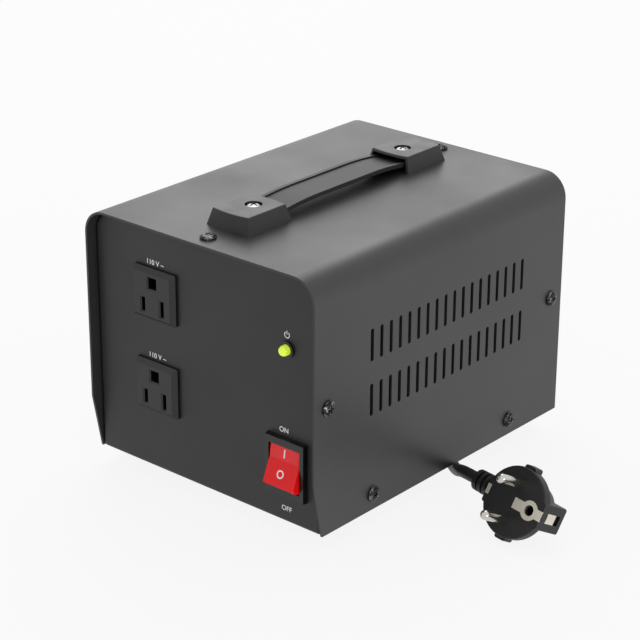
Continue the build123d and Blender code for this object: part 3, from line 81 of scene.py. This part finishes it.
class Mat:
    """A node material with helpers for its usual layers."""

    def __init__(self, name, base, rough=0.5, metal=0.0, spec=0.5, coat=0.0, coat_rough=0.1):
        self.mat = bpy.data.materials.new(name)
        self.mat.use_nodes = True
        self.tree = self.mat.node_tree
        self.shader = self.tree.nodes["Principled BSDF"]
        self.shader.inputs["Base Color"].default_value = base
        self.shader.inputs["Roughness"].default_value = rough
        self.shader.inputs["Metallic"].default_value = metal
        self.shader.inputs["Specular IOR Level"].default_value = spec
        self.shader.inputs["Coat Weight"].default_value = coat
        self.shader.inputs["Coat Roughness"].default_value = coat_rough
        self.base = base
        self.rough = rough
        self.coords = self.node("ShaderNodeTexCoord").outputs["Object"]
        self.colour = None
        self.normal = None

    def node(self, kind, **settings):
        made = self.tree.nodes.new(kind)
        for key, value in settings.items():
            setattr(made, key, value)
        return made

    def link(self, a, b):
        self.tree.links.new(a, b)

    def noise(self, scale, detail=3.0, rough=0.5, stretch=None, distort=0.0):
        texture = self.node("ShaderNodeTexNoise")
        texture.inputs["Scale"].default_value = scale
        texture.inputs["Detail"].default_value = detail
        texture.inputs["Roughness"].default_value = rough
        texture.inputs["Distortion"].default_value = distort
        source = self.coords
        if stretch:
            mapping = self.node("ShaderNodeMapping")
            mapping.inputs["Scale"].default_value = stretch
            self.link(source, mapping.inputs["Vector"])
            source = mapping.outputs["Vector"]
        self.link(source, texture.inputs["Vector"])
        return texture.outputs["Fac"]

    def wave(self, scale, axis="Z", distort=0.0):
        texture = self.node("ShaderNodeTexWave", bands_direction=axis)
        texture.inputs["Scale"].default_value = scale
        texture.inputs["Distortion"].default_value = distort
        self.link(self.coords, texture.inputs["Vector"])
        return texture.outputs["Fac"]

    def ramp(self, source, low, high, a=0.0, b=1.0):
        """Maps source from low..high to a..b, clamped."""
        mapped = self.node("ShaderNodeMapRange")
        mapped.inputs["From Min"].default_value = low
        mapped.inputs["From Max"].default_value = high
        mapped.inputs["To Min"].default_value = a
        mapped.inputs["To Max"].default_value = b
        self.link(source, mapped.inputs["Value"])
        return mapped.outputs["Result"]

    def tint(self, mask, colour):
        """Mixes a second colour in where the mask is high."""
        mix = self.node("ShaderNodeMix", data_type="RGBA")
        self.link(mask, mix.inputs[0])
        if self.colour is None:
            mix.inputs[6].default_value = self.base
        else:
            self.link(self.colour, mix.inputs[6])
        mix.inputs[7].default_value = colour
        self.colour = mix.outputs[2]
        self.link(self.colour, self.shader.inputs["Base Color"])
        return self

    def vary_rough(self, source, spread):
        varied = self.ramp(source, 0.3, 0.7, self.rough - spread, self.rough + spread)
        self.link(varied, self.shader.inputs["Roughness"])
        return self

    def bump(self, source, height, strength=1.0):
        bump = self.node("ShaderNodeBump")
        bump.inputs["Strength"].default_value = strength
        bump.inputs["Distance"].default_value = height
        self.link(source, bump.inputs["Height"])
        if self.normal is not None:
            self.link(self.normal, bump.inputs["Normal"])
        self.normal = bump.outputs["Normal"]
        self.link(self.normal, self.shader.inputs["Normal"])
        return self

    def edges(self, radius, colour, amount=1.0, low=0.06, high=0.4):
        """Worn or catching edges: where a rounded normal departs from the true one."""
        bevel = self.node("ShaderNodeBevel", samples=6)
        bevel.inputs["Radius"].default_value = radius
        geometry = self.node("ShaderNodeNewGeometry")
        dot = self.node("ShaderNodeVectorMath", operation="DOT_PRODUCT")
        self.link(bevel.outputs["Normal"], dot.inputs[0])
        self.link(geometry.outputs["True Normal"], dot.inputs[1])
        inverse = self.node("ShaderNodeMath", operation="SUBTRACT")
        inverse.inputs[0].default_value = 1.0
        self.link(dot.outputs["Value"], inverse.inputs[1])
        speck = self.ramp(self.noise(900, 2.0), 0.35, 0.6)
        product = self.node("ShaderNodeMath", operation="MULTIPLY")
        self.link(self.ramp(inverse.outputs[0], low, high, 0.0, amount), product.inputs[0])
        self.link(speck, product.inputs[1])
        return self.tint(product.outputs[0], colour)


def case_paint():
    """Dark grey stoved paint: a fine leather grain, faint dust and paler worn edges."""
    m = Mat("case_paint", srgb("303031"), 0.42, spec=0.5)
    m.tint(m.ramp(m.noise(14, 4.0), 0.35, 0.75, 0.0, 0.35), srgb("38383a"))
    m.tint(m.ramp(m.noise(260, 2.0), 0.45, 0.8, 0.0, 0.3), srgb("29292a"))
    m.vary_rough(m.noise(20, 3.0), 0.05)
    m.bump(m.noise(1100, 2.0, 0.6), 0.00003, 0.35)
    m.bump(m.noise(9, 2.0), 0.0002, 0.06)
    m.edges(0.0006, srgb("6a6a6a"), 0.45)
    return m.mat


def panel_paint_shaded():
    """The case's paint with painted shade, darker and less glossy for the front panel, and without
    the cover's edge wear.
    """
    # Painted shade: the cover's paint with its base and grain tints set darker, for the front panel
    # that faces away from the light.
    m = Mat("panel_paint_shaded", srgb("2c2c2d"), 0.46, spec=0.4)
    m.tint(m.ramp(m.noise(16, 4.0), 0.35, 0.75, 0.0, 0.3), srgb("333334"))
    m.vary_rough(m.noise(24, 3.0), 0.05)
    m.bump(m.noise(1000, 2.0, 0.6), 0.00003, 0.35)
    return m.mat


def plastic(name, base, lighter, rough, grain=700, depth=0.00002, spec=0.5, wear=None):
    """Moulded plastic: fine spark grain and a little unevenness of tone."""
    m = Mat(name, srgb(base), rough, spec=spec)
    m.tint(m.ramp(m.noise(60, 3.0), 0.35, 0.75, 0.0, 0.5), srgb(lighter))
    m.vary_rough(m.noise(90, 3.0), 0.05)
    m.bump(m.noise(grain, 2.0, 0.55), depth, 0.4)
    if wear:
        m.edges(0.0004, srgb(wear), 0.5)
    return m.mat


def rubber(name, base, lighter, rough=0.6, grain=1300):
    """Soft black rubber with a matt bloom."""
    m = Mat(name, srgb(base), rough, spec=0.4)
    m.tint(m.ramp(m.noise(40, 4.0), 0.4, 0.8, 0.0, 0.6), srgb(lighter))
    m.bump(m.noise(grain, 3.0, 0.6), 0.00004, 0.5)
    return m.mat


def metal(name, base, dull, rough, stretch=None, scale=500, scratches=0.00002, metallic=1.0):
    """Plated metal with a directional grain, dull patches and fine scratches."""
    m = Mat(name, srgb(base), rough, metal=metallic)
    m.tint(m.ramp(m.noise(90, 4.0), 0.5, 0.8, 0.0, 0.6), srgb(dull))
    m.vary_rough(m.noise(150, 3.0), 0.08)
    m.bump(m.noise(scale, 2.0, 0.6, stretch=stretch), scratches, 0.4)
    return m.mat


def shaded_clip():
    """Pale plated strip of the plug's earth contact, with painted shade that darkens it down in its
    hole.
    """
    m = Mat("earth_clip", srgb("dcd6c6"), 0.34, metal=0.6)
    m.tint(m.ramp(m.noise(90, 4.0), 0.5, 0.8, 0.0, 0.6), srgb("b4ae9e"))
    # Painted shade: ambient occlusion tints the strip nearly black down in the hole.
    painted_hole_shade = m.node("ShaderNodeAmbientOcclusion", samples=8)
    painted_hole_shade.inputs["Distance"].default_value = 0.006
    m.tint(m.ramp(painted_hole_shade.outputs["AO"], 0.25, 0.6, 1.0, 0.0), srgb("141310"))
    m.bump(m.noise(500, 2.0, 0.6, stretch=(1, 1, 6)), 0.00002, 0.4)
    return m.mat


def black_screw():
    """Blackened screws, rubbed bright where a driver and fingers touched them."""
    m = Mat("black_screw", srgb("1c1c1e"), 0.34, metal=0.85)
    m.tint(m.ramp(m.noise(420, 3.0), 0.52, 0.68, 0.0, 0.85), srgb("8a8a8a"))
    m.edges(0.0007, srgb("b8b8b8"), 0.9, 0.03, 0.25)
    m.bump(m.noise(700, 2.0), 0.00003, 0.4)
    return m.mat


def rocker_red():
    """Translucent red plastic, with a painted highlight that makes the upper half paler where the
    light comes through, and a faint painted glow.
    """
    m = Mat("rocker_red", srgb("de1018"), 0.26, spec=0.28, coat=0.08, coat_rough=0.1)
    split = m.node("ShaderNodeSeparateXYZ")
    m.link(m.coords, split.inputs[0])
    # Painted highlight: the upper half, above the fold, is tinted paler.
    m.tint(m.ramp(split.outputs["Z"], 0.0425, 0.0445, 0.0, 0.5), srgb("e04a50"))
    m.tint(m.ramp(m.noise(120, 3.0), 0.45, 0.8, 0.0, 0.25), srgb("a00c16"))
    # Painted glow: the rocker is no lamp, yet it emits a little red light.
    m.shader.inputs["Emission Color"].default_value = srgb("f00a0c")
    m.shader.inputs["Emission Strength"].default_value = 0.24
    m.shader.inputs["Subsurface Weight"].default_value = 0.25
    m.shader.inputs["Subsurface Radius"].default_value = (0.003, 0.0006, 0.0005)
    m.shader.inputs["Subsurface Scale"].default_value = 1.0
    m.bump(m.noise(380, 2.0), 0.00001, 0.3)
    return m.mat


def lamp_lens():
    """Clear yellow-green lamp with a faint glow from inside."""
    m = Mat("lamp_lens", srgb("dff03c"), 0.12, spec=0.6, coat=0.6, coat_rough=0.05)
    m.tint(m.ramp(m.noise(300, 2.0), 0.4, 0.8, 0.0, 0.4), srgb("b8d020"))
    m.shader.inputs["Emission Color"].default_value = srgb("e6ff50")
    m.shader.inputs["Emission Strength"].default_value = 0.35
    m.shader.inputs["Transmission Weight"].default_value = 0.15
    return m.mat


def laminations():
    """Edges of stacked steel sheets under varnish."""
    m = Mat("laminations", srgb("4a4c50"), 0.45, metal=0.7, coat=0.3)
    m.tint(m.ramp(m.wave(620, "Y", 0.4), 0.2, 0.8, 0.0, 0.7), srgb("2b2c2f"))
    m.tint(m.ramp(m.noise(70, 4.0), 0.55, 0.8, 0.0, 0.5), srgb("5c4030"))
    m.bump(m.wave(620, "Y", 0.4), 0.00015, 0.5)
    return m.mat


def winding():
    """Enamelled copper wire, turn beside turn."""
    m = Mat("winding", srgb("8e4320"), 0.3, metal=0.8, coat=0.5)
    m.tint(m.ramp(m.wave(220, "Z", 0.6), 0.1, 0.9, 0.0, 0.7), srgb("5c260f"))
    m.bump(m.wave(220, "Z", 0.6), 0.0004, 0.7)
    return m.mat


def tape():
    """Yellow insulating film, wound over itself in overlapping laps."""
    m = Mat("tape", srgb("c8a53c"), 0.28, spec=0.5, coat=0.3)
    m.tint(m.ramp(m.wave(34, "Z", 1.0), 0.45, 0.6, 0.0, 0.5), srgb("a5822a"))
    m.bump(m.noise(50, 3.0, 0.6, stretch=(1, 1, 4)), 0.0003, 0.4)
    return m.mat


def wire_jacket(name, base, lighter):
    """Glossy insulation."""
    m = Mat(name, srgb(base), 0.35, spec=0.5)
    m.tint(m.ramp(m.noise(80, 3.0), 0.4, 0.8, 0.0, 0.5), srgb(lighter))
    m.bump(m.noise(700, 2.0), 0.00002, 0.3)
    return m.mat


def print_ink():
    """Screen-printed white ink, a little worn through, brightened by a painted glow."""
    m = Mat("print_ink", srgb("f2f2f2"), 0.6, spec=0.3)
    m.tint(m.ramp(m.noise(1500, 3.0), 0.55, 0.8, 0.0, 0.4), srgb("b4b4b4"))
    # Painted glow: the ink emits a little white light so that it reads brighter on the dark panel.
    m.shader.inputs["Emission Color"].default_value = (1, 1, 1, 1)
    m.shader.inputs["Emission Strength"].default_value = 0.16
    m.bump(m.noise(1800, 2.0), 0.00001, 0.3)
    return m.mat


def fuse_glass():
    """Clear glass tube."""
    m = Mat("fuse_glass", srgb("e6eeee"), 0.05, spec=0.5)
    m.shader.inputs["Transmission Weight"].default_value = 0.8
    m.tint(m.ramp(m.noise(200, 2.0), 0.4, 0.8, 0.0, 0.3), srgb("c8d4d4"))
    return m.mat


PAINT = case_paint()
PANEL = panel_paint_shaded()
SCREW = black_screw()
BLACK = plastic("black_plastic", "0e0e0f", "18181a", 0.38, wear="38383a")
OUTLET = plastic("outlet_plastic", "0c0c0d", "151517", 0.36, wear="3a3a3c")
CAP = plastic("cap_plastic", "0f0f10", "1a1a1c", 0.4, 500, 0.00003, wear="444446")
BEZEL = plastic("bezel_plastic", "0f0f10", "19191b", 0.3, wear="444446")
STRAP = rubber("strap_rubber", "131314", "202021", 0.5)
FEET = rubber("foot_rubber", "161616", "242424", 0.75)
CORD = rubber("cord_rubber", "232324", "303031", 0.5)
PLUG = plastic("plug_rubber", "121213", "1c1c1d", 0.5, 900, 0.00003, spec=0.4, wear="3a3a3a")
ZINC = metal("zinc_plate", "b4b6b8", "7c7e80", 0.3)
PIN = metal("nickel_pin", "c4c2bc", "9a9892", 0.16, stretch=(1, 1, 6))
CLIP = shaded_clip()
BRASS = metal("contact_brass", "d8d0b8", "9c8c60", 0.26)
RED = rocker_red()
LENS = lamp_lens()
CORE = laminations()
COPPER = winding()
TAPE = tape()
BOBBIN = plastic("bobbin_plastic", "cfc9b4", "bdb59c", 0.5)
CERAMIC = plastic("resistor_body", "b79a6a", "a5855a", 0.5)
GLASS = fuse_glass()
INK = print_ink()
JACKETS = {
    "wires_supply": wire_jacket("jacket_brown", "4a2a1c", "5c3826"),
    "wire_fused": wire_jacket("jacket_brown_dark", "40241a", "523020"),
    "wires_primary": wire_jacket("jacket_blue", "1c3a78", "2a4a8c"),
    "wires_output": wire_jacket("jacket_black", "1c1c1e", "2c2c2e"),
    "wires_earth": wire_jacket("jacket_green_yellow", "5c8c1c", "a0a81e"),
    "wires_lamp": wire_jacket("jacket_red", "8c1c1c", "a03030"),
}
FINISH = {
    "cover": PAINT,
    "chassis": PANEL,
    "cover_side_screws": SCREW,
    "cover_top_screws": SCREW,
    "rubber_feet": FEET,
    "handle_cap_rear": CAP,
    "handle_cap_front": CAP,
    "handle_strap": STRAP,
    "outlet_housing_lower": OUTLET,
    "outlet_housing_upper": OUTLET,
    "outlet_contacts_lower": BRASS,
    "outlet_contacts_upper": BRASS,
    "switch_body": BEZEL,
    "switch_rocker": RED,
    "switch_terminals": BRASS,
    "lamp_ring": BLACK,
    "lamp_lens": LENS,
    "lamp_resistor": CERAMIC,
    "transformer_core": CORE,
    "transformer_bobbin": BOBBIN,
    "transformer_winding": COPPER,
    "winding_wrap": TAPE,
    "thermal_cutout": BLACK,
    "fuse_holder": BLACK,
    "fuse_holder_nut": BLACK,
    "fuse_cap": BLACK,
    "fuse_link": GLASS,
    "fuse_terminals": BRASS,
    "cord_gland": PLUG,
    "earth_lugs": BRASS,
    "plug_body": PLUG,
    "plug_pins": PIN,
    "plug_earth_contact": CLIP,
}
FINISH.update(JACKETS)
for name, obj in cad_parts.items():
    finish = FINISH.get(name, ZINC)
    obj.data.materials.clear()
    obj.data.materials.append(finish)


# Cord
CORD_R = 3.1
COIL_X = -71.5
COIL_Y = 190.0
COIL_R = 41.5
COIL_PITCH = 7.0
SPIRAL_QUARTERS = 6.5
COIL_STEPS = 60


def coil_points():
    """Points of the put-away coil: in on the upper layer, down, and out on the lower one."""
    found = []
    for i in range(COIL_STEPS + 1):
        quarters = i * (2 * SPIRAL_QUARTERS + 2) / COIL_STEPS
        into = min(max(quarters - SPIRAL_QUARTERS, 0), 2)
        outward = max(quarters - SPIRAL_QUARTERS - 2, 0)
        drawn_in = min(quarters, SPIRAL_QUARTERS) + into - into**2 / 2
        radius = COIL_R + COIL_PITCH / 4 * (outward - drawn_in)
        height = CORD_R + COIL_PITCH * (1 + math.cos(into * math.pi / 2)) / 2
        angle = quarters * math.pi / 2
        found.append((COIL_X + radius * math.cos(angle), COIL_Y + radius * math.sin(angle), height))
    return found


route = [
    (-30, 112.9, 37),
    (-30, 126.4, 37),
    (-30, 140.2, 30.6),
    (-30.1, 150.4, 19.2),
    (-29.42, 168.41, 10.1),
]
route += coil_points()
route += [
    (-37.3, 147.5, 3.1),
    (-8, 126, 3.2),
    (14, 90, 3.2),
    (36, 52, 3.2),
    (54, 28, 3.2),
    (68.56, 17.5, 3.2),
    (77.4, 9.55, 6.1),
    (88.58, -2.74, 14.77),
    (94.34, -6.46, 16.96),
    (101.07, -8.85, 17.86),
    (104.646, -9.27, 17.624),
]
cord_curve = bpy.data.curves.new("mains_cord", "CURVE")
cord_curve.dimensions = "3D"
spline = cord_curve.splines.new("NURBS")
spline.points.add(len(route) - 1)
for point, place in zip(spline.points, route):
    point.co = (*[a * MM for a in place], 1)
spline.order_u = 3
spline.use_endpoint_u = True
spline.resolution_u = 8
cord_curve.bevel_depth = CORD_R * MM
cord_curve.bevel_resolution = 6
cord_curve.use_fill_caps = True
cord = bpy.data.objects.new("mains_cord", cord_curve)
cord_curve.materials.append(CORD)
bpy.context.collection.objects.link(cord)
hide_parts("cord_rear", "cord_coil", "cord_front")
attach(cord, "case")


# Printing on the panel
PANEL_Y = -92.4
INK_PROUD = 0.04
LETTER_HEIGHT = 2.6
CAPITAL_SHARE = 0.7
FLOOR_UP = 9.0


def place_print(obj, x, z, body="case"):
    """Stands a flat print on the front panel."""
    spot = Vector((x, PANEL_Y - INK_PROUD, z)) * MM
    obj.matrix_world = Matrix.Translation(spot) @ Matrix.Rotation(math.pi / 2, 4, "X")
    bpy.context.collection.objects.link(obj)
    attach(obj, body)


def words(name, text, x, z):
    """Plain lettering, centred at x, its baseline at z."""
    data = bpy.data.curves.new(name, "FONT")
    data.body = text
    data.size = LETTER_HEIGHT * MM / CAPITAL_SHARE
    data.align_x = "CENTER"
    data.extrude = 0.00001
    data.offset = 0.00004
    data.materials.append(INK)
    obj = bpy.data.objects.new(name, data)
    place_print(obj, x, z)


words("print_output_upper", "110 V ~", -32.4, FLOOR_UP + 110.1)
words("print_output_lower", "110 V ~", -32.4, FLOOR_UP + 60.7)
words("print_on", "ON", 51.0, FLOOR_UP + 47.6)
words("print_off", "OFF", 52.6, FLOOR_UP + 6.3)


def flat_mesh(name, loops, material):
    """A mesh of flat strips in the XY plane, each given as inner and outer rings of points."""
    mesh = bpy.data.meshes.new(name)
    bm = bmesh.new()
    for inner, outer in loops:
        a = [bm.verts.new(p) for p in inner]
        b = [bm.verts.new(p) for p in outer]
        for i in range(len(a) - 1):
            bm.faces.new((a[i], b[i], b[i + 1], a[i + 1]))
    bmesh.ops.recalc_face_normals(bm, faces=bm.faces)
    bm.to_mesh(mesh)
    bm.free()
    mesh.materials.append(material)
    return bpy.data.objects.new(name, mesh)


def arc_strip(radius, width, start, stop, steps=40):
    """The inner and outer ring of an arc, in degrees."""
    inner = []
    outer = []
    near = radius - width / 2
    far = radius + width / 2
    for i in range(steps + 1):
        angle = math.radians(start + (stop - start) * i / steps)
        inner.append((near * math.cos(angle) * MM, near * math.sin(angle) * MM, 0))
        outer.append((far * math.cos(angle) * MM, far * math.sin(angle) * MM, 0))
    return inner, outer


def bar_strip(x, low, high, width):
    """The two sides of an upright bar."""
    return (
        [((x - width / 2) * MM, low * MM, 0), ((x - width / 2) * MM, high * MM, 0)],
        [((x + width / 2) * MM, low * MM, 0), ((x + width / 2) * MM, high * MM, 0)],
    )


SIGN_LINE = 0.45
power_sign = [arc_strip(1.5, SIGN_LINE, 125, 415), bar_strip(0, 0.2, 2.1, SIGN_LINE)]
power_mark = flat_mesh("print_power_mark", power_sign, INK)
place_print(power_mark, 53.0, FLOOR_UP + 98.2)

# Marks on the rocker: a bar on the upper half, a ring on the lower one
PIVOT = Vector((53.4, PANEL_Y, 39.2))
FOLD = PIVOT + Vector((0, -2.9, 4.0))
MARK_PROUD = 0.05
for name, lean, along, loops in (
    ("rocker_mark_on", 8.0, 3.6, [bar_strip(0, -2.1, 2.1, 0.75)]),
    ("rocker_mark_off", 23.0, -6.6, [arc_strip(1.75, 0.7, 0, 360)]),
):
    mark = flat_mesh(name, loops, INK)
    lean = math.radians(lean)
    upward = Vector((0, math.sin(lean), math.cos(lean)))
    outward = Vector((0, -math.cos(lean), math.sin(lean)))
    spot = FOLD + upward * along + outward * MARK_PROUD
    turn = Matrix((Vector((1, 0, 0)), upward, outward)).transposed().to_4x4()
    mark.matrix_world = Matrix.Translation(spot * MM) @ turn
    bpy.context.collection.objects.link(mark)
    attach(mark, "rocker")

# Studio
WORLD_LIGHT = 0.45
BACKDROP_WHITE = 1.0
FLOOR_WHITE = 0.88
FLOOR_DROP = 0.0002
scene = bpy.context.scene
scene.view_settings.view_transform = "Standard"
world = bpy.data.worlds.new("world")
scene.world = world
world.use_nodes = True


def seen_directly(tree, share):
    """A factor: the share for camera, mirror and glass rays, and none for light that falls."""
    path = tree.nodes.new("ShaderNodeLightPath")
    seen = path.outputs["Is Camera Ray"]
    for kind in ("Is Glossy Ray", "Is Transmission Ray"):
        either = tree.nodes.new("ShaderNodeMath")
        either.operation = "MAXIMUM"
        tree.links.new(seen, either.inputs[0])
        tree.links.new(path.outputs[kind], either.inputs[1])
        seen = either.outputs[0]
    part = tree.nodes.new("ShaderNodeMath")
    part.operation = "MULTIPLY"
    part.inputs[1].default_value = share
    tree.links.new(seen, part.inputs[0])
    return part.outputs[0]


def white_when_seen(tree, lit, output, kind, share):
    """Mixes plain white into what the camera and mirrors see of a lit shader."""
    white = tree.nodes.new(kind)
    white.inputs["Color"].default_value = (1, 1, 1, 1)
    white.inputs["Strength"].default_value = 1.0
    mix = tree.nodes.new("ShaderNodeMixShader")
    tree.links.new(seen_directly(tree, share), mix.inputs["Fac"])
    tree.links.new(lit, mix.inputs[1])
    tree.links.new(white.outputs[0], mix.inputs[2])
    tree.links.new(mix.outputs["Shader"], output.inputs["Surface"])


sky = world.node_tree
soft = sky.nodes["Background"]
soft.inputs["Color"].default_value = (1, 1, 1, 1)
soft.inputs["Strength"].default_value = WORLD_LIGHT
white_when_seen(
    sky, soft.outputs["Background"], sky.nodes["World Output"], "ShaderNodeBackground", BACKDROP_WHITE
)


def softbox(name, spot, aim, size, power):
    """A rectangular studio light, in metres and watts, that faces the aim."""
    data = bpy.data.lights.new(name, "AREA")
    data.shape = "RECTANGLE"
    data.size = size[0]
    data.size_y = size[1]
    data.energy = power
    lamp = bpy.data.objects.new(name, data)
    spot = Vector(spot)
    facing = (spot - Vector(aim)).to_track_quat("Z", "Y").to_matrix().to_4x4()
    lamp.matrix_world = Matrix.Translation(spot) @ facing
    bpy.context.collection.objects.link(lamp)


softbox("overhead", (-0.45, 0.4, 1.2), (0, 0, 0.1), (1.1, 1.1), 5.5)
softbox("behind", (-1.15, 1.2, 0.85), (0, 0, 0.1), (1.0, 0.9), 3.8)
softbox("right_fill", (1.4, -0.1, 0.13), (0, 0, 0.02), (1.2, 0.22), 6.5)

floor_mesh = bpy.data.meshes.new("floor")
bm = bmesh.new()
bmesh.ops.create_grid(bm, x_segments=1, y_segments=1, size=6)
bm.to_mesh(floor_mesh)
bm.free()
floor_mat = bpy.data.materials.new("floor_white")
floor_mat.use_nodes = True
ft = floor_mat.node_tree
principled = ft.nodes["Principled BSDF"]
principled.inputs["Base Color"].default_value = (0.9, 0.9, 0.9, 1)
principled.inputs["Roughness"].default_value = 0.9
white_when_seen(
    ft, principled.outputs["BSDF"], ft.nodes["Material Output"], "ShaderNodeEmission", FLOOR_WHITE
)
floor_mesh.materials.append(floor_mat)
floor = bpy.data.objects.new("floor", floor_mesh)
floor.location = (0, 0, -FLOOR_DROP)
bpy.context.collection.objects.link(floor)
